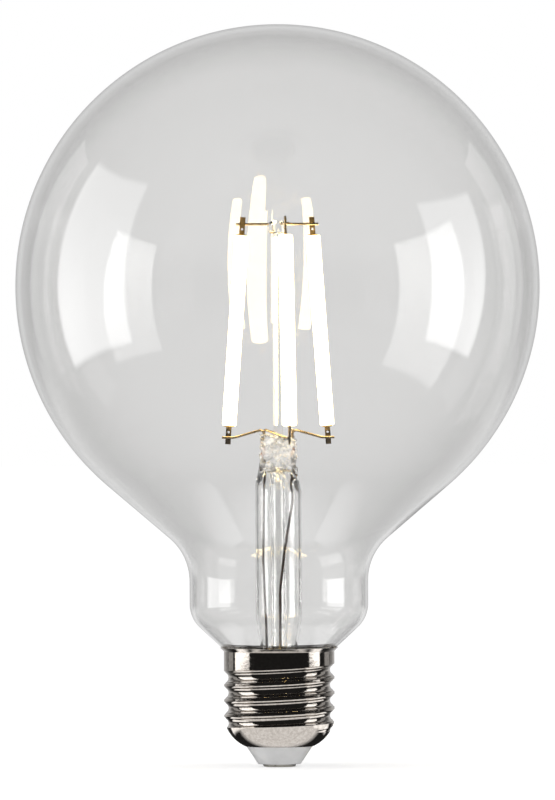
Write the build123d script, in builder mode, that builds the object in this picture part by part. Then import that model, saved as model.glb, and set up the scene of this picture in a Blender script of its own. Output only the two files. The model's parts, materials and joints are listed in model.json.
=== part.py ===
"""Clear globe filament bulb with a rolled screw cap, standing cap down, in millimetres."""
import os
from math import asin, atan, cos, degrees, hypot, radians, sin, tan

from build123d import *

# Cap, from the contact upward
contact_radius = 3.9
contact_thickness = 0.65
contact_edge = 0.4
pin_radius = 1.1
pin_length = 5.6
insulator_tip_radius = 5.1
insulator_height = 4.25
insulator_lip = 0.25
insulator_edge = 0.5
plug_height = 1.6
sheet = 0.3
shell_mouth_radius = 8.2
shell_cone_height = 6.1
shell_cone_bulge = 9.0
shell_height = 22.75
rim_height = 0.75

# Rolled screw thread
thread_radius = 13.2
thread_depth = 1.08
thread_pitch = 3.629
thread_turns = 5
crest_rounding = 0.8
crest_break = 18
fold_floor = 0.55
fold_gap = 0.06
runout_turn = 1 / 3
runout_rise = 1.35

# Glass envelope
globe_radius = 62.5
glass_wall = 0.9
neck_radius = 21.3
neck_length = 15.02
flow_angle = 49.5
flow_rounding = 13.5
shoulder_angle = 47.0
shoulder_rounding = 7.6
seal_radius = 11.4
seal_rounding = 1.5
seal_height = 20.25
cement_height = 2.7

# Glass stem
stem_radius = 5.5
stem_wall = 0.6
waist_radius = 4.5
waist_length = 2.6
waist_taper = 7.0
waist_rounding = 22.0
press_width = 8.5
press_thickness = 4.2
press_rounding = 1.8
press_height = 6.4
press_top = 79.0
pinch_height = 6.6
pinch_width = 10.2
pinch_thickness = 8.0
pinch_rounding = 3.6
bore_end_width = 6.6
bore_end_thickness = 2.4
bore_end_rounding = 1.1
bore_end_depth = 1.8
exhaust_radius = 1.95
exhaust_wall = 0.8
exhaust_seat = 1.1
exhaust_tip = 15.2
exhaust_tip_radius = 0.8
exhaust_taper = 4.5
blow_hole_depth = 3.6

# Glass rod and its button
rod_radius = 1.1
rod_seat = 2.0
button_radius = 2.25
button_height = 3.2
button_rounding = 1.2
button_cover = 0.8

# Filament cage
filament_bearing = {"left": 180, "front": 283, "right": 0, "back": 76}
filament_radius = 1.65
filament_rounding = 0.25
filament_height = 45.2
filament_lift = 2.4
foot_ring = 11.7
head_ring = 8.5
clip_thickness = 0.25
clip_width = 1.3
clip_length = 4.5
clip_head_width = 2.2
clip_head_height = 0.35
clip_hole_radius = 0.28
clip_hole_inset = 1.6
lower_weld = 2.9
upper_weld = 2.8

# Wires
wire_radius = 0.3
snug = 0.02
weld_gap = 0.05
wire_tail = 1.5
arm_bend = 0.9
arm_rise = 1.5
arm_lay = 1.5
lay_bend = 3.0
top_bend = 1.0
lead_spacing = 3.4
seal_wire_depth = 3.0
seal_wire_length = 1.8
lead_bend = 2.5
lead_sway = 12.0
left_lead_drops = (4.0, 16.0)
right_lead_drops = (3.0, 13.0, 24.0)
waist_run = 4.0
flare_run = 2.0
board_run = 4.5

# Driver in the cap
board_radius = 10.4
board_thickness = 1.0
board_height = 11.6
board_lead_spacing = 6.8
solder_stub = 0.6
pin_wire_radius = 0.25
resistor_radius = 1.15
resistor_length = 3.8
resistor_rounding = 0.5
resistor_lift = 0.6
capacitor_radius = 2.5
capacitor_length = 10.0
capacitor_place = 5.6
capacitor_rounding = 0.4
crimp_depth = 0.3
crimp_inset = 1.4
capacitor_pin_spacing = 2.0
capacitor_pin_reach = 1.2
capacitor_pin_bend = 0.6
rectifier_size = (4.7, 3.9, 2.2)
rectifier_place = (-3.6, -5.0)
rectifier_leg_pairs = 2
rectifier_leg_pitch = 2.5
chip_size = (4.9, 3.9, 1.4)
chip_place = (3.4, -5.0)
chip_leg_pairs = 4
chip_leg_pitch = 1.27
leg_width = 0.5
leg_reach = 0.9
leg_root = 0.3
leg_thickness = 0.2
package_stand = 0.15
package_chamfer = 0.2
shell_wire_spacing = 9.0
shell_wire_turn = 3
shell_wire_bend = 1.2

# Levels, radii and slopes that follow from the sizes above
shell_bottom = contact_thickness + insulator_height
rim_bend = shell_bottom + shell_height
rim_top = rim_bend + rim_height
collar_bore = thread_radius - sheet
thread_root = thread_radius - thread_depth
thread_height = thread_turns * thread_pitch
thread_top = shell_bottom + thread_height
runout_height = runout_turn * thread_pitch
runout_angle = degrees(atan(runout_rise / runout_height))
root_rounding = ((thread_pitch / 2) ** 2 + thread_depth**2) / (2 * thread_depth) - crest_rounding
groove_centre = thread_root + root_rounding
groove_mouth = thread_radius + thread_depth
shoulder_slope = tan(radians(shoulder_angle))
flow_slope = tan(radians(flow_angle))
shoulder_level = rim_bend + (neck_radius - collar_bore) / shoulder_slope
flow_level = shoulder_level + neck_length
flow_rise = (globe_radius * cos(radians(flow_angle)) - neck_radius) / flow_slope
globe_centre = flow_level + flow_rise + globe_radius * sin(radians(flow_angle))
seal_corner = rim_bend - (collar_bore - seal_radius) / shoulder_slope
seal_lip = seal_radius - glass_wall
flare_radius = seal_lip - waist_radius
flare_top = seal_height + flare_radius
press_bottom = press_top - press_height
tube_top = press_bottom - pinch_height
bore_end = press_bottom - bore_end_depth
exhaust_top = bore_end + exhaust_seat
exhaust_bore = exhaust_radius - exhaust_wall
blow_hole = press_top - blow_hole_depth
lead_ring = (exhaust_radius + waist_radius - stem_wall) / 2
seal_wire_top = press_top - seal_wire_depth
seal_wire_foot = seal_wire_top - seal_wire_length
filament_foot = press_top + filament_lift
filament_span = hypot(filament_height, foot_ring - head_ring)
weld_offset = clip_thickness / 2 + wire_radius + weld_gap
pin_top = contact_thickness + pin_length
board_top = board_height + board_thickness
stub_level = board_height - solder_stub
capacitor_axis = board_top + capacitor_radius + weld_gap
capacitor_pins = capacitor_length / 2 + capacitor_pin_reach


def save(piece, name):
    """Name a finished piece and write it to its own file"""
    piece.part.label = name
    export_step(piece.part, f"parts/{name}.step")


def radial(bearing):
    """Unit vector that points away from the bulb's axis at a bearing in degrees"""
    return Vector(cos(radians(bearing)), sin(radians(bearing)), 0)


def filament_frame(bearing):
    """Plane at a filament's foot, with x away from the axis and z up along the filament"""
    foot = radial(bearing) * foot_ring
    head = radial(bearing) * head_ring + Vector(0, 0, filament_height)
    along = (head - foot).normalized()
    across = Vector(0, 0, 1).cross(radial(bearing))
    return Plane(origin=foot + Vector(0, 0, filament_foot), x_dir=across.cross(along), z_dir=along)


def weld_point(bearing, level, side):
    """Centre of a wire laid on one face of a clip, at a level along the filament"""
    return filament_frame(bearing).from_local_coords(Vector(0, side * weld_offset, level))


def top_route(first, second):
    """Corners of a wire that joins two filaments' heads through the glass button"""
    level = filament_span + upper_weld
    start = weld_point(first, level, 1)
    end = weld_point(second, level, -1)
    reach = (end - start).cross(radial(second)).Z / radial(first).cross(radial(second)).Z
    corner = start + radial(first) * reach
    return [start + radial(first) * wire_tail, corner, end + radial(second) * wire_tail]


def arm_route(foot, bearing, side):
    """Corners of a wire that rises from its foot, slopes out and is laid across a lower clip"""
    peak = Vector(foot.X, foot.Y, press_top + arm_rise)
    weld = weld_point(bearing, -lower_weld, side)
    return [foot, peak, weld - radial(bearing) * arm_lay, weld + radial(bearing) * wire_tail]


def round_wire(points, bend, radius, mode=Mode.ADD):
    """Add or cut a round wire along straight runs joined by arcs, in the part being built"""
    with BuildLine() as route:
        FilletPolyline(*points, radius=bend)
    with BuildSketch(Plane(origin=route.line @ 0, z_dir=route.line % 0)) as section:
        Circle(radius)
    sweep(sections=section.sketch, path=route.line, mode=mode)


def cap_outline(inset):
    """Half section of the cap's shell without its thread, drawn in from the outer face by inset"""
    mouth = shell_mouth_radius - inset
    side = thread_radius - inset
    cone_top = shell_bottom + shell_cone_height
    bend = rim_bend - (sheet - inset) * tan(radians(shoulder_angle / 2))
    rim = side + (rim_top - bend) * shoulder_slope
    RadiusArc((mouth, shell_bottom), (side, cone_top), -shell_cone_bulge)
    Polyline((side, cone_top), (side, bend), (rim, rim_top), (0, rim_top))
    Polyline((0, rim_top), (0, shell_bottom), (mouth, shell_bottom))


def groove_outside(level):
    """Section of the thread's groove on the outer face: a root arc between two crest arcs"""
    crest_centre = thread_radius - crest_rounding
    lean = asin((groove_centre - crest_centre) / (root_rounding + crest_rounding))
    meet_r = groove_centre - root_rounding * sin(lean)
    meet_z = root_rounding * cos(lean)
    edge_r = crest_centre + crest_rounding * cos(radians(crest_break))
    edge_z = thread_pitch / 2 - crest_rounding * sin(radians(crest_break))
    ThreePointArc((meet_r, level - meet_z), (thread_root, level), (meet_r, level + meet_z))
    RadiusArc((meet_r, level + meet_z), (edge_r, level + edge_z), crest_rounding)
    RadiusArc((edge_r, level - edge_z), (meet_r, level - meet_z), crest_rounding)
    Line((edge_r, level + edge_z), (groove_mouth, level + edge_z))
    Line((groove_mouth, level + edge_z), (groove_mouth, level - edge_z))
    Line((groove_mouth, level - edge_z), (edge_r, level - edge_z))


def groove_inside(level):
    """Section of the same groove on the inner face of the sheet, with straight flanks"""
    floor = thread_root - sheet
    edge = collar_bore + snug
    mouth = thread_pitch / 2 - fold_gap
    upper = [(floor, level + fold_floor), (edge, level + mouth), (groove_mouth, level + mouth)]
    lower = [(groove_mouth, level - mouth), (edge, level - mouth), (floor, level - fold_floor)]
    Polyline(*upper, *lower, close=True)


def threaded_body(inset, groove):
    """Solid form of the cap's shell, thread included, drawn in from the outer face by inset"""
    with BuildPart() as body:
        with BuildSketch(Plane.XZ):
            with BuildLine():
                cap_outline(inset)
            make_face()
        revolve(axis=Axis.Z)
        for level, height, angle in (
            (shell_bottom, thread_height, 0),
            (thread_top, runout_height, runout_angle),
        ):
            with BuildLine():
                Helix(thread_pitch, height, groove_centre, center=(0, 0, level), cone_angle=angle)
            with BuildSketch(Plane.XZ):
                with BuildLine():
                    groove(level)
                make_face()
            sweep(is_frenet=True, mode=Mode.SUBTRACT)
    return body.part


def envelope_outline(inset):
    """Half section of the glass envelope, drawn in from its outer face by inset"""
    radius = globe_radius - inset
    bulge = CenterArc((0, globe_centre), radius, -flow_angle, 90 + flow_angle)
    corners = [
        (neck_radius - inset, flow_level + inset * tan(radians(flow_angle / 2))),
        (neck_radius - inset, shoulder_level + inset * tan(radians(shoulder_angle / 2))),
        (seal_radius - inset, seal_corner + inset * tan(radians(shoulder_angle / 2))),
        (seal_radius - inset, seal_height),
    ]
    bends = [flow_rounding + inset, shoulder_rounding - inset, seal_rounding + inset]
    FilletPolyline(bulge @ 0, *corners, radius=bends)
    Polyline(corners[-1], (0, seal_height), bulge @ 1)


def stem_side(inset):
    """One face of the stem's wall, from the flare's lip up to the pinch, drawn in by inset"""
    waist = waist_radius - inset
    taper_foot = flare_top + waist_length
    taper_head = taper_foot + waist_taper
    side = stem_radius - inset
    RadiusArc((seal_lip, seal_height - inset), (waist, flare_top), flare_radius + inset)
    corners = [(waist, flare_top), (waist, taper_foot), (side, taper_head), (side, tube_top)]
    FilletPolyline(*corners, radius=waist_rounding)


def package(name, size, place, leg_pairs, leg_pitch):
    """Moulded chip on the board, with a row of flat legs along each long side"""
    length, width, height = size
    row_spacing = width + leg_reach - 2 * leg_root
    with BuildPart() as piece:
        with Locations((*place, board_top + package_stand)):
            Box(length, width, height, align=(Align.CENTER, Align.CENTER, Align.MIN))
        chamfer(piece.faces().sort_by(Axis.Z)[-1].edges(), package_chamfer)
        with Locations((*place, board_top)):
            with GridLocations(leg_pitch, row_spacing, leg_pairs, 2):
                Box(leg_width, leg_reach, leg_thickness, align=(Align.CENTER, Align.CENTER, Align.MIN))
    save(piece, name)


os.makedirs("parts", exist_ok=True)

# Globe: sphere, flowing neck and shoulder, blown to an even wall and open where the stem is sealed in
with BuildPart() as globe:
    for inset, mode in ((0, Mode.ADD), (glass_wall, Mode.SUBTRACT)):
        with BuildSketch(Plane.XZ):
            with BuildLine():
                envelope_outline(inset)
            make_face()
        revolve(axis=Axis.Z, mode=mode)
save(globe, "globe")

# Stem: flare, waisted tube and flat press, with its bore, wire holes, seats and blow hole
with BuildPart() as stem_tube:
    with BuildSketch(Plane.XZ):
        with BuildLine():
            stem_side(0)
            stem_side(stem_wall)
            Line((stem_radius, tube_top), (stem_radius - stem_wall, tube_top))
            Line((seal_lip, seal_height), (seal_radius, seal_height))
            Line((seal_radius, seal_height), (seal_radius, seal_height - stem_wall))
            Line((seal_radius, seal_height - stem_wall), (seal_lip, seal_height - stem_wall))
        make_face()
    revolve(axis=Axis.Z)
    with BuildSketch(Plane.XY.offset(tube_top)):
        Circle(stem_radius)
    with BuildSketch(Plane.XY.offset((tube_top + press_bottom) / 2)):
        RectangleRounded(pinch_width, pinch_thickness, pinch_rounding)
    with BuildSketch(Plane.XY.offset(press_bottom)):
        RectangleRounded(press_width, press_thickness, press_rounding)
    loft()
    with BuildSketch(Plane.XY.offset(press_bottom)):
        RectangleRounded(press_width, press_thickness, press_rounding)
    extrude(amount=press_height)
    with BuildSketch(Plane.XY.offset(tube_top)):
        Circle(stem_radius - stem_wall)
    with BuildSketch(Plane.XY.offset(bore_end)):
        RectangleRounded(bore_end_width, bore_end_thickness, bore_end_rounding)
    loft(mode=Mode.SUBTRACT)
    with BuildSketch(Plane.XY.offset(tube_top)):
        Circle(exhaust_radius + snug)
    extrude(amount=exhaust_top - tube_top, mode=Mode.SUBTRACT)
    with BuildSketch(Plane.XY.offset(exhaust_top)):
        Circle(exhaust_bore)
    extrude(amount=blow_hole - exhaust_top, mode=Mode.SUBTRACT)
    with BuildSketch(Plane.XZ):
        with Locations((0, blow_hole)):
            Circle(exhaust_bore)
    extrude(amount=press_thickness, mode=Mode.SUBTRACT)
    with BuildSketch(Plane.XY.offset(tube_top)):
        with GridLocations(2 * lead_spacing, 0, 2, 1):
            Circle(wire_radius + snug)
    extrude(amount=press_top - tube_top, mode=Mode.SUBTRACT)
    with BuildSketch(Plane.XY.offset(press_top - rod_seat)):
        Circle(rod_radius + snug)
    extrude(amount=rod_seat, mode=Mode.SUBTRACT)
save(stem_tube, "stem_tube")

# Exhaust tube: open at the press, drawn out and closed at the tip in the cap
with BuildPart() as exhaust_tube:
    with BuildSketch(Plane.XZ):
        with BuildLine():
            taper_top = exhaust_tip + exhaust_taper
            Line((exhaust_radius, taper_top), (exhaust_radius, exhaust_top))
            Line((exhaust_radius, exhaust_top), (exhaust_bore, exhaust_top))
            Line((exhaust_bore, exhaust_top), (exhaust_bore, taper_top))
            Line((exhaust_bore, taper_top), (0, taper_top - exhaust_bore))
            Line((0, taper_top - exhaust_bore), (0, exhaust_tip))
            Line((0, exhaust_tip), (exhaust_tip_radius, exhaust_tip))
            TangentArc((exhaust_radius, taper_top), (exhaust_tip_radius, exhaust_tip), tangent=(0, -1))
        make_face()
    revolve(axis=Axis.Z)
save(exhaust_tube, "exhaust_tube")

# Support rod: seated in the press, with a button at its top that grips the two top wires
top_wires = {"left": ("back", "left"), "right": ("front", "right")}
top_routes = {
    name: top_route(filament_bearing[first], filament_bearing[second])
    for name, (first, second) in top_wires.items()
}
button_top = top_routes["left"][1].Z + button_cover
with BuildPart() as support_rod:
    with BuildSketch(Plane.XY.offset(button_top - button_height)):
        Circle(button_radius)
    extrude(amount=button_height)
    fillet(support_rod.edges().filter_by(GeomType.CIRCLE), button_rounding)
    with BuildSketch(Plane.XY.offset(press_top - rod_seat)):
        Circle(rod_radius)
    extrude(amount=button_top - button_height / 2 - press_top + rod_seat)
    for route in top_routes.values():
        round_wire(route, top_bend, wire_radius + snug, Mode.SUBTRACT)
save(support_rod, "support_rod")

for name, route in top_routes.items():
    with BuildPart() as top_wire:
        round_wire(route, top_bend, wire_radius)
    save(top_wire, f"top_wire_{name}")

# Filaments: coated strips leaning in toward their heads, with a flat holed clip at each end
for name, bearing in filament_bearing.items():
    frame = filament_frame(bearing)
    with BuildPart() as filament:
        with BuildSketch(frame):
            Circle(filament_radius)
        extrude(amount=filament_span)
        fillet(filament.edges().filter_by(GeomType.CIRCLE), filament_rounding)
    save(filament, f"filament_{name}")
    for end, level, way in (("lower", 0, -1), ("upper", filament_span, 1)):
        origin = frame.from_local_coords(Vector(0, 0, level))
        with BuildPart() as clip:
            with BuildSketch(Plane(origin=origin, x_dir=frame.x_dir, z_dir=-frame.y_dir)):
                with Locations((0, way * clip_head_height / 2)):
                    Rectangle(clip_head_width, clip_head_height)
                with Locations((0, way * clip_length / 2)):
                    Rectangle(clip_width, clip_length)
                with Locations((0, way * clip_hole_inset)):
                    Circle(clip_hole_radius, mode=Mode.SUBTRACT)
            extrude(amount=clip_thickness / 2, both=True)
        save(clip, f"{end}_clip_{name}")

# Inner leads and their branches: out of the press, over and down to the lower clips
branch_offset = 2 * wire_radius + weld_gap
branch_foot = press_top + weld_gap
arms = {
    "inner_lead_left": (Vector(-lead_spacing, 0, seal_wire_top), "left", 1),
    "inner_lead_right": (Vector(lead_spacing, 0, seal_wire_top), "right", -1),
    "branch_wire_front": (Vector(-lead_spacing, -branch_offset, branch_foot), "front", -1),
    "branch_wire_back": (Vector(lead_spacing, branch_offset, branch_foot), "back", -1),
}
for name, (foot, filament_name, side) in arms.items():
    route = arm_route(foot, filament_bearing[filament_name], side)
    with BuildPart() as arm:
        round_wire(route, [arm_bend, lay_bend], wire_radius)
    save(arm, name)

# Lengths of wire sealed in the press, one under each inner lead
for name, side in (("left", -1), ("right", 1)):
    with BuildPart() as seal_wire:
        with BuildSketch(Plane.XY.offset(seal_wire_foot)):
            with Locations((side * lead_spacing, 0)):
                Circle(wire_radius)
        extrude(amount=seal_wire_length)
    save(seal_wire, f"seal_wire_{name}")

# Outer leads: down the stem beside the exhaust tube, out of the flare and through the board
outer_routes = {
    "left": [
        (-lead_spacing, 0, seal_wire_foot),
        (-lead_spacing, 0, tube_top - left_lead_drops[0]),
        (-lead_spacing - wire_radius, 0, tube_top - left_lead_drops[1]),
        (-lead_ring, 0, flare_top + waist_run),
        (-lead_ring, 0, seal_height + flare_run),
        (-board_lead_spacing, 0, board_top + board_run),
        (-board_lead_spacing, 0, stub_level),
    ],
    "right": [
        (lead_spacing, 0, seal_wire_foot),
        (lead_spacing, 0, tube_top - right_lead_drops[0]),
        (lead_ring / 2, -lead_ring, tube_top - right_lead_drops[1]),
        (wire_radius, -lead_ring - wire_radius, tube_top - right_lead_drops[2]),
        (wire_radius, -lead_ring, flare_top + waist_run),
        (wire_radius, -lead_ring, seal_height + flare_run),
        (board_lead_spacing, 0, board_top + board_run),
        (board_lead_spacing, 0, stub_level),
    ],
}
for name, route in outer_routes.items():
    with BuildPart() as outer_lead:
        round_wire(route, [lead_sway] * (len(route) - 4) + [lead_bend] * 2, wire_radius)
    save(outer_lead, f"outer_lead_{name}")

# Screw shell: one rolled sheet, with its cone, thread, collar and flared rim
shell_bore = threaded_body(sheet, groove_inside)
with BuildPart() as screw_shell:
    add(threaded_body(0, groove_outside))
    add(shell_bore, mode=Mode.SUBTRACT)
save(screw_shell, "screw_shell")

# Insulator: cone below the shell, with a plug that seats in the shell's mouth
with BuildPart() as insulator:
    with BuildSketch(Plane.XZ):
        with BuildLine():
            cap_outline(sheet)
        make_face()
        with Locations((0, shell_bottom)):
            Rectangle(thread_radius, plug_height, align=(Align.MIN, Align.MIN), mode=Mode.INTERSECT)
        with BuildLine():
            base = shell_mouth_radius - insulator_lip
            tip = (insulator_tip_radius, contact_thickness)
            Polyline((0, shell_bottom), (0, contact_thickness), tip, (base, shell_bottom), close=True)
        make_face()
    revolve(axis=Axis.Z)
    fillet(insulator.edges().sort_by(Axis.Z)[0], insulator_edge)
    Hole(pin_radius + snug)
save(insulator, "insulator")

# Centre contact: flat button with a rounded edge and a pin pressed into the insulator
with BuildPart() as centre_contact:
    with BuildSketch():
        Circle(contact_radius)
    extrude(amount=contact_thickness)
    fillet(centre_contact.edges().sort_by(Axis.Z)[0], contact_edge)
    with BuildSketch(Plane.XY.offset(contact_thickness)):
        Circle(pin_radius)
    extrude(amount=pin_length)
save(centre_contact, "centre_contact")

# Cement: ring between the glass neck and the collar of the shell
with BuildPart() as cap_cement:
    with BuildSketch(Plane.XZ):
        with BuildLine():
            foot = rim_bend - cement_height
            seat = [(seal_radius, foot), (seal_radius, seal_corner), (collar_bore, rim_bend)]
            FilletPolyline(*seat, radius=seal_rounding)
            Polyline((collar_bore, rim_bend), (collar_bore, foot), (seal_radius, foot))
        make_face()
    revolve(axis=Axis.Z)
save(cap_cement, "cap_cement")

# Driver board: round, drilled for the leads, the resistor, the capacitor and the shell's wire
with BuildPart() as driver_board:
    with BuildSketch(Plane.XY.offset(board_height)):
        Circle(board_radius)
        with GridLocations(2 * board_lead_spacing, 0, 2, 1):
            Circle(wire_radius + snug, mode=Mode.SUBTRACT)
        with Locations((shell_wire_spacing, 0)):
            Circle(wire_radius + snug, mode=Mode.SUBTRACT)
        Circle(pin_wire_radius + snug, mode=Mode.SUBTRACT)
        with Locations((capacitor_pins, capacitor_place)):
            with GridLocations(0, capacitor_pin_spacing, 1, 2):
                Circle(pin_wire_radius + snug, mode=Mode.SUBTRACT)
    extrude(amount=board_thickness)
save(driver_board, "driver_board")

# Bridge rectifier and driver chip: moulded packages on the board
package("bridge_rectifier", rectifier_size, rectifier_place, rectifier_leg_pairs, rectifier_leg_pitch)
package("driver_chip", chip_size, chip_place, chip_leg_pairs, chip_leg_pitch)

# Smoothing capacitor: can lying on the board, crimped near the end that its two wires leave
with BuildPart() as smoothing_capacitor:
    with BuildSketch(Plane.YZ.offset(-capacitor_length / 2)):
        with Locations((capacitor_place, capacitor_axis)):
            Circle(capacitor_radius)
    extrude(amount=capacitor_length)
    fillet(smoothing_capacitor.edges().filter_by(GeomType.CIRCLE), capacitor_rounding)
    with BuildSketch(Plane.XY.offset(capacitor_axis)):
        with Locations((capacitor_length / 2 - crimp_inset, capacitor_place + capacitor_radius)):
            RegularPolygon(crimp_depth, 4)
    revolve(axis=Axis((0, capacitor_place, capacitor_axis), (1, 0, 0)), mode=Mode.SUBTRACT)
    for side in (-1, 1):
        row = capacitor_place + side * capacitor_pin_spacing / 2
        root = (capacitor_length / 2 - capacitor_rounding, row, capacitor_axis)
        knee = (capacitor_pins, row, capacitor_axis)
        round_wire([root, knee, (capacitor_pins, row, stub_level)], capacitor_pin_bend, pin_wire_radius)
save(smoothing_capacitor, "smoothing_capacitor")

# Fuse resistor: upright between the board and the contact's pin
with BuildPart() as fuse_resistor:
    with BuildSketch(Plane.XY.offset(pin_top + resistor_lift)):
        Circle(resistor_radius)
    extrude(amount=resistor_length)
    fillet(fuse_resistor.edges().filter_by(GeomType.CIRCLE), resistor_rounding)
    with BuildSketch(Plane.XY.offset(pin_top)):
        Circle(pin_wire_radius)
    extrude(amount=board_top + solder_stub - pin_top)
save(fuse_resistor, "fuse_resistor")

# Shell wire: from the board out to the inner face of the shell, at the floor of a groove
with BuildPart() as shell_wire:
    level = shell_bottom + shell_wire_turn * thread_pitch
    stub = (shell_wire_spacing, 0, stub_level)
    knee = (shell_wire_spacing, 0, level)
    spot = (thread_root - sheet - snug, 0, level)
    round_wire([stub, knee, spot], shell_wire_bend, wire_radius)
save(shell_wire, "shell_wire")
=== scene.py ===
"""Studio scene for a clear globe filament bulb: looks, light and camera round the solids, in metres"""
import json
import math

import bmesh
import bpy
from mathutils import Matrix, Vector, noise


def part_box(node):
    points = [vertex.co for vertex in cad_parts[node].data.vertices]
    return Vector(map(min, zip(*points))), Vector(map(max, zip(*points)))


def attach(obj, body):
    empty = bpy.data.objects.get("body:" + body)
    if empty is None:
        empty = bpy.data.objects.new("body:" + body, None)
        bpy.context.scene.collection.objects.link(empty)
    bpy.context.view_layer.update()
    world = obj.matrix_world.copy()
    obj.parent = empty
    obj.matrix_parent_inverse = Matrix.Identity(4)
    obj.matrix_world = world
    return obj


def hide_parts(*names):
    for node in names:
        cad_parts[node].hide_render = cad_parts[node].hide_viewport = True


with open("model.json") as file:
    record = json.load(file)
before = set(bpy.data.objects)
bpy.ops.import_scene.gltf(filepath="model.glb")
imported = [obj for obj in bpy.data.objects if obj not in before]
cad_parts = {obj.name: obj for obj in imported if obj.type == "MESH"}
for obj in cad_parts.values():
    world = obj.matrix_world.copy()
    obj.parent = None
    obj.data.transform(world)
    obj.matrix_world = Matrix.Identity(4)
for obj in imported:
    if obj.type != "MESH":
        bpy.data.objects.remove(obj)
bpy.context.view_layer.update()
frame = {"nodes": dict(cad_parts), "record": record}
nodes = frame["nodes"]
_, globe_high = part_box("globe")
globe_radius = globe_high.x
globe_centre = Vector((0, 0, globe_high.z - globe_radius))

# Camera, with sizes, row and column in pixels of the photograph
photo_height = 800
photo_width = 555
globe_pixels = 524
foot_row = 766.5
axis_column = 278
metres_per_pixel = 2 * globe_radius / globe_pixels
camera_distance = 1.75
camera_roll = 0.25
camera_clip = (0.01, 50)
sensor_millimetres = 36
light_bounces = 32
mirror_bounces = 12

# Looks
noise_detail = 4.0
noise_span = (0.3, 0.7)
metallic = 1.0
shell_relief = 0.8e-5
glass_rough = (0.0, 0.0)
coating_rough = (0.5, 0.6)
press_cloud = (0.0695, 0.0735)
cloud_grain = 800
cloud_depth = 0.65
looks = {}


def new_material(name):
    """Empty node material, with its tree and its output"""
    material = bpy.data.materials.new(name)
    material.use_nodes = True
    tree = material.node_tree
    tree.nodes.clear()
    return material, tree, tree.nodes.new("ShaderNodeOutputMaterial")


def feed(tree, socket, value):
    """Link a socket to another one, or set it to a number"""
    if isinstance(value, bpy.types.NodeSocket):
        tree.links.new(value, socket)
    else:
        socket.default_value = value


def reckon(tree, operation, first, second=0.0):
    """One step of arithmetic between sockets or numbers"""
    node = tree.nodes.new("ShaderNodeMath")
    node.operation = operation
    feed(tree, node.inputs[0], first)
    feed(tree, node.inputs[1], second)
    return node.outputs[0]


def ramp(tree, value, span, first, last, form="LINEAR"):
    """Level that goes from first to last while a value goes over a span, and stays there beyond it"""
    node = tree.nodes.new("ShaderNodeMapRange")
    node.interpolation_type = form
    names = ("Value", "From Min", "From Max", "To Min", "To Max")
    for name, entry in zip(names, (value, *span, first, last)):
        feed(tree, node.inputs[name], entry)
    return node.outputs["Result"]


def fade(tree, value, span, first, last):
    """Ramp with smooth ends"""
    return ramp(tree, value, span, first, last, "SMOOTHSTEP")


def axes(tree, vector):
    """X, Y and Z of a vector, as sockets by name"""
    node = tree.nodes.new("ShaderNodeSeparateXYZ")
    tree.links.new(vector, node.inputs["Vector"])
    return node.outputs


def drift(tree, grain):
    """Object-space noise, from 0 to 1, with about grain lumps to the metre"""
    place = tree.nodes.new("ShaderNodeTexCoord")
    lumps = tree.nodes.new("ShaderNodeTexNoise")
    lumps.inputs["Scale"].default_value = grain
    lumps.inputs["Detail"].default_value = noise_detail
    tree.links.new(place.outputs["Object"], lumps.inputs["Vector"])
    return lumps.outputs["Fac"]


def blend_colours(tree, value, dark, light):
    """Colour between two shades, by noise"""
    node = tree.nodes.new("ShaderNodeMix")
    node.data_type = "RGBA"
    shades = {"A": dark, "B": light}
    for socket in node.inputs:
        if socket.type == "RGBA":
            socket.default_value = (*shades[socket.name], 1)
    tree.links.new(ramp(tree, value, noise_span, 0.0, 1.0), node.inputs["Factor"])
    return next(socket for socket in node.outputs if socket.type == "RGBA")


def surface(name, dark, light, grain, rough, metal=0.0, relief=0.0):
    """Look whose colour, and roughness where it has a range, drift over the surface"""
    material, tree, output = new_material(name)
    shader = tree.nodes.new("ShaderNodeBsdfPrincipled")
    lumps = drift(tree, grain)
    tree.links.new(blend_colours(tree, lumps, dark, light), shader.inputs["Base Color"])
    shader.inputs["Roughness"].default_value = rough[0]
    if rough[0] != rough[1]:
        tree.links.new(ramp(tree, lumps, noise_span, *rough), shader.inputs["Roughness"])
    shader.inputs["Metallic"].default_value = metal
    if relief:
        bump = tree.nodes.new("ShaderNodeBump")
        bump.inputs["Distance"].default_value = relief
        tree.links.new(lumps, bump.inputs["Height"])
        tree.links.new(bump.outputs["Normal"], shader.inputs["Normal"])
    tree.links.new(shader.outputs["BSDF"], output.inputs["Surface"])
    looks[name] = material
    return tree, shader


def clear_glass(name, dark, light, grain, ior):
    """Clear glass with a faint grey tint"""
    tree, shader = surface(name, dark, light, grain, glass_rough)
    shader.inputs["Transmission Weight"].default_value = 1.0
    shader.inputs["IOR"].default_value = ior
    return tree, shader


def press_glass(name, dark, light, grain, ior):
    """Stem glass, clear in its tube and clouded by folds and bubbles in its press"""
    tree, shader = clear_glass(name, dark, light, grain, ior)
    place = tree.nodes.new("ShaderNodeTexCoord")
    press = fade(tree, axes(tree, place.outputs["Object"])["Z"], press_cloud, 0.0, 1.0)
    folds = ramp(tree, drift(tree, cloud_grain), noise_span, 0.0, cloud_depth)
    clear = reckon(tree, "SUBTRACT", 1.0, reckon(tree, "MULTIPLY", press, folds))
    tree.links.new(clear, shader.inputs["Transmission Weight"])


def glow(name, dark, light, grain, strength):
    """Lit filament coating"""
    tree, shader = surface(name, dark, light, grain, coating_rough)
    colour = shader.inputs["Base Color"].links[0].from_socket
    tree.links.new(colour, shader.inputs["Emission Color"])
    shader.inputs["Emission Strength"].default_value = strength


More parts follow.
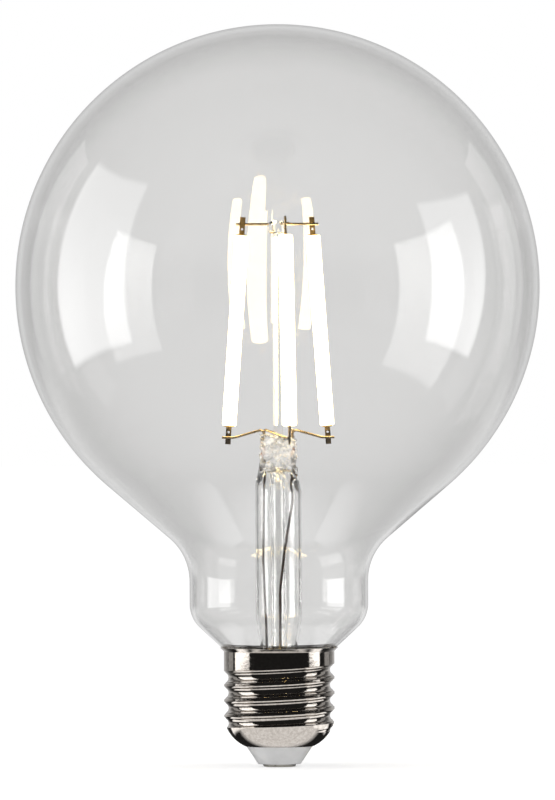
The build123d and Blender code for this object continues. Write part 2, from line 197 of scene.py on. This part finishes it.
# Each look has a darker and a lighter colour and its grain, then index of refraction, strength or roughness
clear_glass("clear_glass", (0.87, 0.868, 0.864), (0.885, 0.883, 0.879), 25, 1.48)
clear_glass("inner_glass", (0.97, 0.97, 0.965), (0.985, 0.985, 0.98), 60, 1.56)
press_glass("press_glass", (0.97, 0.97, 0.965), (0.985, 0.985, 0.98), 60, 1.56)
glow("filament_coating", (1.0, 0.77, 0.39), (1.0, 0.82, 0.45), 400, 13.0)
surface("clip_metal", (0.2, 0.14, 0.07), (0.42, 0.31, 0.17), 900, (0.25, 0.45), metallic)
surface("inner_wire", (0.42, 0.32, 0.2), (0.62, 0.5, 0.34), 900, (0.2, 0.35), metallic)
surface("seal_copper", (0.42, 0.12, 0.05), (0.6, 0.22, 0.1), 900, (0.2, 0.35), metallic)
surface("dark_wire", (0.05, 0.035, 0.025), (0.12, 0.08, 0.06), 700, (0.35, 0.5), metallic)
surface("shell_nickel", (0.41, 0.375, 0.34), (0.55, 0.51, 0.47), 1500, (0.04, 0.12), metallic, shell_relief)
surface("insulator_white", (0.74, 0.74, 0.74), (0.82, 0.82, 0.82), 300, (0.3, 0.4))
surface("contact_metal", (0.3, 0.29, 0.26), (0.42, 0.41, 0.37), 600, (0.25, 0.4), metallic)
surface("cement", (0.62, 0.59, 0.52), (0.74, 0.71, 0.64), 900, (0.7, 0.9))
surface("board_laminate", (0.08, 0.26, 0.12), (0.12, 0.34, 0.16), 500, (0.35, 0.5))
surface("chip_black", (0.02, 0.02, 0.02), (0.045, 0.045, 0.045), 900, (0.4, 0.55))
surface("capacitor_sleeve", (0.03, 0.05, 0.1), (0.05, 0.08, 0.14), 500, (0.2, 0.3))
surface("resistor_coat", (0.25, 0.36, 0.32), (0.33, 0.44, 0.4), 700, (0.35, 0.5))

inner_glass = ("stem_tube", "exhaust_tube", "support_rod")
for part in frame["record"]["subparts"]:
    look = "inner_glass" if part["node"] in inner_glass else part["material_slot"]
    materials = nodes[part["node"]].data.materials
    materials.clear()
    materials.append(looks[look])


# Stem glass: flare, waisted tube and a press that was squeezed soft, so its faces are lumpy
stem_segments = 160
stem_radius = 0.0055
stem_wall = 0.0006
waist_radius = 0.0045
seal_radius = 0.0114
seal_lip = 0.0105
seal_height = 0.02025
flare_radius = 0.006
flare_top = 0.02625
flare_steps = 24
taper_foot = 0.02885
taper_head = 0.03585
tube_top = 0.066
tube_steps = 40
press_bottom = 0.0726
press_top = 0.079
press_half = (0.00425, 0.0021)
press_edge = 0.0011
press_lean = 0.0008
press_steps = 48
lean_rise = 0.004
bore_end = 0.0708
bore_end_half = (0.0033, 0.0012)
round_power = 2
bore_power = 3
press_power = 5
lump_start = 0.002
lump_height = 0.0008
lump_grain = 640
fine_grain = 2.1
fine_height = 0.5
edge_steps = 8
end_shares = (0.75, 0.5, 0.25, 0.02)
end_lumps = 0.5


def ease(value, low, high):
    """Smooth step from 0 at low to 1 at high"""
    share = min(max((value - low) / (high - low), 0), 1)
    return share * share * (3 - 2 * share)


def stem_ring(half_x, half_y, power, height, lumps):
    """Closed ring of the stem: round at power 2, squarer above it, with lumps pushed out of its face"""
    ring = []
    for i in range(stem_segments):
        turn = 2 * math.pi * i / stem_segments
        across, deep = math.cos(turn), math.sin(turn)
        reach = ((abs(across) / half_x) ** power + (abs(deep) / half_y) ** power) ** (-1 / power)
        point = Vector((reach * across, reach * deep, height))
        swell = noise.noise(point * lump_grain) + fine_height * noise.noise(point * lump_grain * fine_grain)
        point.xy += Vector((across, deep)) * swell * lumps * lump_height
        point.z -= press_lean * ease(height, tube_top - lean_rise, tube_top) * point.x / stem_radius
        ring.append(point)
    return ring


def stem_face(inset, top, top_half, power):
    """Rings of one face of the stem, from the flare's lip up to its pressed end, as ring sizes"""
    rows = []
    for k in range(flare_steps + 1):
        turn = math.radians(90 * k / flare_steps)
        reach = seal_lip - (flare_radius + inset) * math.sin(turn)
        rows.append((reach, reach, round_power, flare_top - (flare_radius + inset) * math.cos(turn), 0))
    for k in range(1, tube_steps + 1):
        height = flare_top + (tube_top - flare_top) * k / tube_steps
        reach = waist_radius - inset + (stem_radius - waist_radius) * ease(height, taper_foot, taper_head)
        rows.append((reach, reach, round_power, height, 0))
    side = stem_radius - inset
    for k in range(1, press_steps + 1):
        height = tube_top + (top - tube_top) * k / press_steps
        share = ease(height, tube_top, min(top, press_bottom))
        half_x = side + (top_half[0] - side) * share
        half_y = side + (top_half[1] - side) * share
        lumps = ease(height, tube_top + lump_start, press_bottom)
        rows.append((half_x, half_y, round_power + (power - round_power) * share, height, lumps))
    return rows


def closed_end(rows, edge):
    """Turn the last ring of a face over a rounded edge and in to its middle"""
    half_x, half_y, power, height, lumps = rows.pop()
    for k in range(1, edge_steps + 1):
        turn = math.radians(90 * k / edge_steps)
        inward = edge * (1 - math.cos(turn))
        rows.append((half_x - inward, half_y - inward, power, height - edge + edge * math.sin(turn), lumps))
    for share in end_shares:
        rows.append(((half_x - edge) * share, (half_y - edge) * share, power, height, lumps * end_lumps))
    return rows


def skin(name, rings, look, node):
    """Closed smooth piece through a row of rings, capped at both ends, that stands for a CAD node"""
    wide = len(rings[0])
    points = [point for ring in rings for point in ring]
    faces = [
        (j * wide + i, j * wide + (i + 1) % wide, (j + 1) * wide + (i + 1) % wide, (j + 1) * wide + i)
        for j in range(len(rings) - 1)
        for i in range(wide)
    ]
    faces.append(tuple(reversed(range(wide))))
    faces.append(tuple(range(len(points) - wide, len(points))))
    mesh = bpy.data.meshes.new(name)
    mesh.from_pydata(points, [], faces)
    shape = bmesh.new()
    shape.from_mesh(mesh)
    bmesh.ops.recalc_face_normals(shape, faces=shape.faces)
    shape.to_mesh(mesh)
    shape.free()
    mesh.polygons.foreach_set("use_smooth", [True] * len(mesh.polygons))
    mesh.materials.append(looks[look])
    piece = bpy.data.objects.new(name, mesh)
    bpy.context.scene.collection.objects.link(piece)
    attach(piece, "root")
    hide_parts(node)


def pressed_stem():
    """Stem as one closed skin: down its bore, round its lip and up its outer face to the press"""
    bore = closed_end(stem_face(stem_wall, bore_end, bore_end_half, bore_power), bore_end_half[1] / 2)
    outer = closed_end(stem_face(0, press_top, press_half, press_power), press_edge)
    lip_heights = (seal_height - stem_wall, seal_height)
    lip = [(seal_radius, seal_radius, round_power, height, 0) for height in lip_heights]
    rows = bore[::-1] + lip + outer
    skin("pressed_stem", [stem_ring(*row) for row in rows], "press_glass", "stem_tube")


pressed_stem()


# Globe glass: the blown envelope with its neck and shoulder, a little out of true at the back
glass_wall = 0.0009
neck_radius = 0.0213
neck_foot = 0.035483
neck_head = 0.050503
flow_angle = 49.5
flow_rounding = 0.0135
shoulder_angle = 47.0
shoulder_rounding = 0.0076
seal_corner = 0.026251
seal_rounding = 0.0015
rounding_steps = 16
globe_segments = 192
globe_steps = 120
crown_end = 0.9995
globe_drift = 0.0008
globe_squeeze = 0.0019
drift_drop = 0.02
crown_fade = (0.45, 0.97)


def rounded_line(corners, bends):
    """Points along straight runs whose inner corners are rounded by arcs"""
    points = [corners[0]]
    for before, corner, after, bend in zip(corners, corners[1:], corners[2:], bends):
        back = (before - corner).normalized()
        on = (after - corner).normalized()
        half = back.angle(on) / 2
        middle = corner + (back + on).normalized() * bend / math.sin(half)
        start = corner + back * bend / math.tan(half) - middle
        end = corner + on * bend / math.tan(half) - middle
        sweep = start.angle(end)
        for k in range(rounding_steps + 1):
            share = k / rounding_steps
            mix = start * math.sin((1 - share) * sweep) + end * math.sin(share * sweep)
            points.append(middle + mix / math.sin(sweep))
    points.append(corners[-1])
    return points


def globe_face(inset):
    """Profile of one face of the globe, from the sealed end up to the crown, drawn in by inset"""
    lean = inset * math.tan(math.radians(shoulder_angle / 2))
    radius = globe_radius - inset
    low = math.radians(flow_angle)
    tangent = Vector((radius * math.cos(low), globe_centre.z - radius * math.sin(low)))
    corners = [
        Vector((seal_radius - inset, seal_height)),
        Vector((seal_radius - inset, seal_corner + lean)),
        Vector((neck_radius - inset, neck_foot + lean)),
        Vector((neck_radius - inset, neck_head + inset * math.tan(low / 2))),
        tangent,
    ]
    bends = [seal_rounding + inset, shoulder_rounding - inset, flow_rounding + inset]
    profile = rounded_line(corners, bends)
    for k in range(1, globe_steps + 1):
        turn = -low + (math.pi / 2 + low) * min(k / globe_steps, crown_end)
        profile.append(Vector((radius * math.cos(turn), globe_centre.z + radius * math.sin(turn))))
    return profile


def globe_ring(reach, height):
    """Ring of the globe, with its back wall drifting a little off the true sphere"""
    ring = []
    for i in range(globe_segments):
        turn = 2 * math.pi * i / globe_segments
        point = Vector((reach * math.cos(turn), reach * math.sin(turn), height))
        way = (point - globe_centre).normalized()
        share = max(0, math.sin(turn)) ** 2
        share *= ease(height, neck_head, globe_centre.z - drift_drop)
        share *= 1 - ease(way.z, *crown_fade)
        ring.append(point - way * (globe_drift * way.x + globe_squeeze * way.z**2) * share)
    return ring


def blown_globe():
    """Globe as one closed skin: down its inner face, round its sealed end and up its outer face"""
    profile = globe_face(glass_wall)[::-1] + globe_face(0)
    skin("blown_globe", [globe_ring(*point) for point in profile], "clear_glass", "globe")


blown_globe()


# Studio: a white world, a pale floor, and cards, a tent and a table that the camera itself doesn't see.
# A level is a share of white, and a span holds the two ends of a smooth change.
half_bounce = 0.5
globe_walls = 4
inner_walls = 8
card_distance = 0.3
card_steps = 48
card_rows = 24
card_half = 0.5
softbox_light = 3.2
softbox_head = 0.5
softbox_peak = 0.22
softbox_feather = 0.05
softbox_gain = 0.65
softbox_deep = 6.0
reflector_light = 0.48

# Lengths of the rays that the globe's limb mirrors onto a softbox, and what is left of it above its foot
limb_start = (0.262, 0.274)
limb_end = (0.294, 0.3)
limb_foot = (0.1, 0.2)
limb_level = 0.2

# Corners of the cards, as bearing from the viewer's side and elevation: the foot's two ends, then the head's
softboxes = {
    "softbox_left": ((-103.5, -22.5), (-62.5, -20.5), (-103.5, 35.8), (-62.5, 36.7)),
    "softbox_right": ((63.5, -20), (92, -22), (63.5, 29), (98, 27.2)),
}
reflectors = {
    "reflector_left": ((-128, -20), (-110, -20), (-128, 32), (-110, 32)),
    "reflector_right": ((108, -20), (126, -20), (108, 32), (126, 32)),
}

# Tent and table: levels by how far back a direction points, below and above the turn between them
tent_radius = 2.4
tent_segments = 96
tent_rings = 48
tent_gain = 1.31
tent_deep = 1.25
tent_turn = (-0.4, -0.03)
tent_levels = (
    (0.2, 0.02),
    (0.32, 0.12),
    (0.42, 0.3),
    (0.52, 0.46),
    (0.63, 0.62),
    (0.74, 0.76),
    (0.86, 0.7),
    (1.0, 0.52),
)
roof_levels = (
    (0.2, 0.02),
    (0.45, 0.02),
    (0.6, 0.06),
    (0.7, 0.14),
    (0.78, 0.22),
    (0.85, 0.46),
    (0.92, 0.66),
    (1.0, 0.52),
)
new_stop = 0.5
front_fill = 0.45
inner_gain = 3.0
table_gap = 0.0003
table_shade = 1.2
table_reach = (0.024, 0.038)
table_front = (-0.0065, -0.0005)
spill_light = 1.9
spill_sides = (0.86, 0.92)
spill_start = (0.019, 0.025)
spill_reach = (0.028, 0.055)

# World and floor
white = (1, 1, 1, 1)
ambient_light = 0.8
floor_radius = 8.0
floor_colour = (0.8, 0.8, 0.8, 1)
floor_rough = 0.9
floor_lift = 0.4
disc_segments = 96


def light_path(tree):
    """What a ray has been through, as sockets by name"""
    return tree.nodes.new("ShaderNodeLightPath").outputs


def straight_through(tree):
    """1 for a ray that has passed through glass and was never mirrored, 0 for any other"""
    path = light_path(tree)
    clean = reckon(tree, "LESS_THAN", path["Glossy Depth"], half_bounce)
    return reckon(tree, "MULTIPLY", clean, path["Is Transmission Ray"])


def plainly_seen(tree):
    """1 for a ray from the camera, from a mirror or through glass, 0 for any other"""
    path = light_path(tree)
    seen = reckon(tree, "MAXIMUM", path["Is Camera Ray"], path["Is Glossy Ray"])
    return reckon(tree, "MAXIMUM", seen, path["Is Transmission Ray"])


def through_walls(tree, level, gain, deep_gain):
    """Change a level for rays through the tinted globe, and again for those that met inner glass"""
    depth = light_path(tree)["Transmission Depth"]
    level = reckon(tree, "MULTIPLY", level, ramp(tree, depth, (0, globe_walls), 1.0, gain))
    return reckon(tree, "MULTIPLY", level, ramp(tree, depth, (globe_walls, inner_walls), 1.0, deep_gain))


def limb_shade(tree, height):
    """Share of a softbox that a ray sees: little of it, apart from its foot, in the globe's limb"""
    length = light_path(tree)["Ray Length"]
    near = fade(tree, length, limb_start, 1.0, limb_level)
    far = fade(tree, length, limb_end, 0.0, 1.0)
    foot = fade(tree, height, limb_foot, 1.0, 0.0)
    return reckon(tree, "MAXIMUM", near, reckon(tree, "MAXIMUM", far, foot))


def spot(tree, level):
    """Brightness of a softbox: strongest above its foot, weaker toward its ends, with feathered edges"""
    place = axes(tree, tree.nodes.new("ShaderNodeTexCoord").outputs["UV"])
    off_peak = reckon(tree, "ABSOLUTE", reckon(tree, "SUBTRACT", place["Y"], softbox_peak))
    brightness = fade(tree, off_peak, (0.0, 1.0 - softbox_peak), level, level * softbox_head)
    for axis in ("X", "Y"):
        edge = reckon(tree, "PINGPONG", place[axis], card_half)
        feather = fade(tree, edge, (0.0, softbox_feather), 0.0, 1.0)
        brightness = reckon(tree, "MULTIPLY", brightness, feather)
    return reckon(tree, "MULTIPLY", brightness, limb_shade(tree, place["Y"]))


def lamp_material(name):
    """Material that only gives light, with its tree and the socket of its strength"""
    material, tree, output = new_material(name)
    emission = tree.nodes.new("ShaderNodeEmission")
    tree.links.new(emission.outputs["Emission"], output.inputs["Surface"])
    return material, tree, emission.inputs["Strength"]


def hang(piece, material, lights):
    """Give a studio piece its look, unseen by the camera itself; only one that lights reaches dull surfaces
    """
    piece.data.materials.append(material)
    piece.visible_camera = False
    piece.visible_diffuse = lights
    piece.visible_shadow = False


def card_mesh(name, corners):
    """Curved sheet round the globe between four corners"""
    foot_start, foot_end, head_start, head_end = (Vector(corner) for corner in corners)
    points = []
    for j in range(card_rows + 1):
        for i in range(card_steps + 1):
            low = foot_start.lerp(foot_end, i / card_steps)
            high = head_start.lerp(head_end, i / card_steps)
            turn, lift = (math.radians(angle) for angle in low.lerp(high, j / card_rows))
            way = Vector((math.sin(turn) * math.cos(lift), -math.cos(turn) * math.cos(lift), math.sin(lift)))
            points.append(globe_centre + way * card_distance)
    wide = card_steps + 1
    faces = [
        (j * wide + i, j * wide + i + 1, (j + 1) * wide + i + 1, (j + 1) * wide + i)
        for j in range(card_rows)
        for i in range(card_steps)
    ]
    mesh = bpy.data.meshes.new(name)
    mesh.from_pydata(points, [], faces)
    layer = mesh.uv_layers.new(name="card")
    for loop in mesh.loops:
        row, column = divmod(loop.vertex_index, wide)
        layer.data[loop.index].uv = (column / card_steps, row / card_rows)
    return mesh


def card(name, corners, soft):
    """Softbox or reflector that shows in reflections, and is white where it is only seen through glass"""
    piece = bpy.data.objects.new(name, card_mesh(name, corners))
    bpy.context.scene.collection.objects.link(piece)
    material, tree, strength = lamp_material(name)
    level = reflector_light
    if soft:
        level = through_walls(tree, spot(tree, softbox_light), softbox_gain, softbox_deep)
    tree.links.new(ramp(tree, straight_through(tree), (0, 1), level, 1.0), strength)
    hang(piece, material, lights=soft)


def openness(tree):
    """Level of the studio in reflections, by direction: dark in front and overhead, pale behind the bulb"""
    offset = tree.nodes.new("ShaderNodeVectorMath")
    offset.operation = "SUBTRACT"
    offset.inputs[1].default_value = globe_centre
    tree.links.new(tree.nodes.new("ShaderNodeNewGeometry").outputs["Position"], offset.inputs[0])
    way = tree.nodes.new("ShaderNodeVectorMath")
    way.operation = "NORMALIZE"
    tree.links.new(offset.outputs["Vector"], way.inputs[0])
    direction = axes(tree, way.outputs["Vector"])
    shades = []
    for levels in (tent_levels, roof_levels):
        scale = tree.nodes.new("ShaderNodeValToRGB")
        scale.color_ramp.interpolation = "EASE"
        stops = scale.color_ramp.elements
        while len(stops) < len(levels):
            stops.new(new_stop)
        for stop, (reach, shade) in zip(stops, levels):
            stop.position = reach
            stop.color = (shade, shade, shade, 1)
        tree.links.new(direction["Y"], scale.inputs["Fac"])
        shades.append(scale.outputs["Color"])
    level = fade(tree, direction["Z"], tent_turn, *shades)
    inside = reckon(tree, "GREATER_THAN", light_path(tree)["Transmission Depth"], half_bounce)
    fill = reckon(tree, "MULTIPLY", fade(tree, direction["Z"], tent_turn, front_fill, 0.0), inside)
    return reckon(tree, "MAXIMUM", level, fill)


def near_table(tree):
    """Level of the table round the cap: pale in front, bright at the sides where the softboxes light it"""
    position = tree.nodes.new("ShaderNodeNewGeometry").outputs["Position"]
    length = tree.nodes.new("ShaderNodeVectorMath")
    length.operation = "LENGTH"
    tree.links.new(position, length.inputs[0])
    away = length.outputs["Value"]
    place = axes(tree, position)
    front = fade(tree, place["Y"], table_front, 1.0, 0.0)
    pale = reckon(tree, "MULTIPLY", fade(tree, away, table_reach, table_shade, 0.0), front)
    aside = reckon(tree, "DIVIDE", reckon(tree, "ABSOLUTE", place["X"]), away)
    spill = fade(tree, aside, spill_sides, 0.0, spill_light)
    spill = reckon(tree, "MULTIPLY", spill, fade(tree, away, spill_start, 0.0, 1.0))
    spill = reckon(tree, "MULTIPLY", spill, fade(tree, away, spill_reach, 1.0, 0.0))
    outside = reckon(tree, "LESS_THAN", light_path(tree)["Transmission Depth"], half_bounce)
    return reckon(tree, "MULTIPLY", reckon(tree, "MAXIMUM", pale, spill), outside)


def surround(piece, name, round_cap):
    """Name and hang a large piece of the studio; round_cap adds the table's levels near the cap"""
    piece.name = name
    material, tree, strength = lamp_material(name)
    level = openness(tree)
    if round_cap:
        level = reckon(tree, "MAXIMUM", level, near_table(tree))
    level = through_walls(tree, level, tent_gain, tent_deep)
    beyond_glass = fade(tree, light_path(tree)["Diffuse Depth"], (0, 1), 1.0, inner_gain)
    tree.links.new(ramp(tree, straight_through(tree), (0, 1), level, beyond_glass), strength)
    hang(piece, material, lights=False)


def tent():
    """Dome round the set and the table under it"""
    bpy.ops.mesh.primitive_uv_sphere_add(
        segments=tent_segments, ring_count=tent_rings, radius=tent_radius, location=globe_centre
    )
    surround(bpy.context.object, "tent", round_cap=False)
    bpy.ops.mesh.primitive_circle_add(
        vertices=disc_segments, radius=tent_radius, fill_type="NGON", location=(0, 0, table_gap)
    )
    surround(bpy.context.object, "table", round_cap=True)


def lit_world():
    """White to the camera, to reflections and through glass, and a softer level as ambient light"""
    world = bpy.data.worlds.new("studio")
    bpy.context.scene.world = world
    world.use_nodes = True
    tree = world.node_tree
    background = tree.nodes["Background"]
    background.inputs["Color"].default_value = white
    level = ramp(tree, plainly_seen(tree), (0, 1), ambient_light, 1.0)
    tree.links.new(level, background.inputs["Strength"])


def pale_floor():
    """White floor that still takes the bulb's shadow"""
    bpy.ops.mesh.primitive_circle_add(vertices=disc_segments, radius=floor_radius, fill_type="NGON")
    floor = bpy.context.object
    floor.name = "floor"
    material, tree, output = new_material("floor")
    shader = tree.nodes.new("ShaderNodeBsdfPrincipled")
    shader.inputs["Base Color"].default_value = floor_colour
    shader.inputs["Roughness"].default_value = floor_rough
    shader.inputs["Specular IOR Level"].default_value = 0.0
    shader.inputs["Emission Color"].default_value = white
    lift = reckon(tree, "MULTIPLY", plainly_seen(tree), floor_lift)
    tree.links.new(lift, shader.inputs["Emission Strength"])
    tree.links.new(shader.outputs["BSDF"], output.inputs["Surface"])
    floor.data.materials.append(material)


def photo_camera():
    """Level camera that frames the bulb as the photograph does"""
    data = bpy.data.cameras.new("camera")
    data.sensor_fit = "VERTICAL"
    data.sensor_height = sensor_millimetres
    data.lens = sensor_millimetres * camera_distance / (photo_height * metres_per_pixel)
    data.clip_start, data.clip_end = camera_clip
    camera = bpy.data.objects.new("camera", data)
    bpy.context.scene.collection.objects.link(camera)
    height = (foot_row - photo_height / 2) * metres_per_pixel
    aside = (photo_width / 2 - axis_column) * metres_per_pixel
    camera.location = (aside, -camera_distance, height)
    camera.rotation_euler = (math.radians(90), math.radians(camera_roll), 0)
    bpy.context.scene.camera = camera


for name, corners in softboxes.items():
    card(name, corners, soft=True)
for name, corners in reflectors.items():
    card(name, corners, soft=False)
tent()
lit_world()
pale_floor()
photo_camera()

scene = bpy.context.scene
scene.view_settings.view_transform = "Standard"
scene.cycles.max_bounces = light_bounces
scene.cycles.transmission_bounces = light_bounces
scene.cycles.glossy_bounces = mirror_bounces
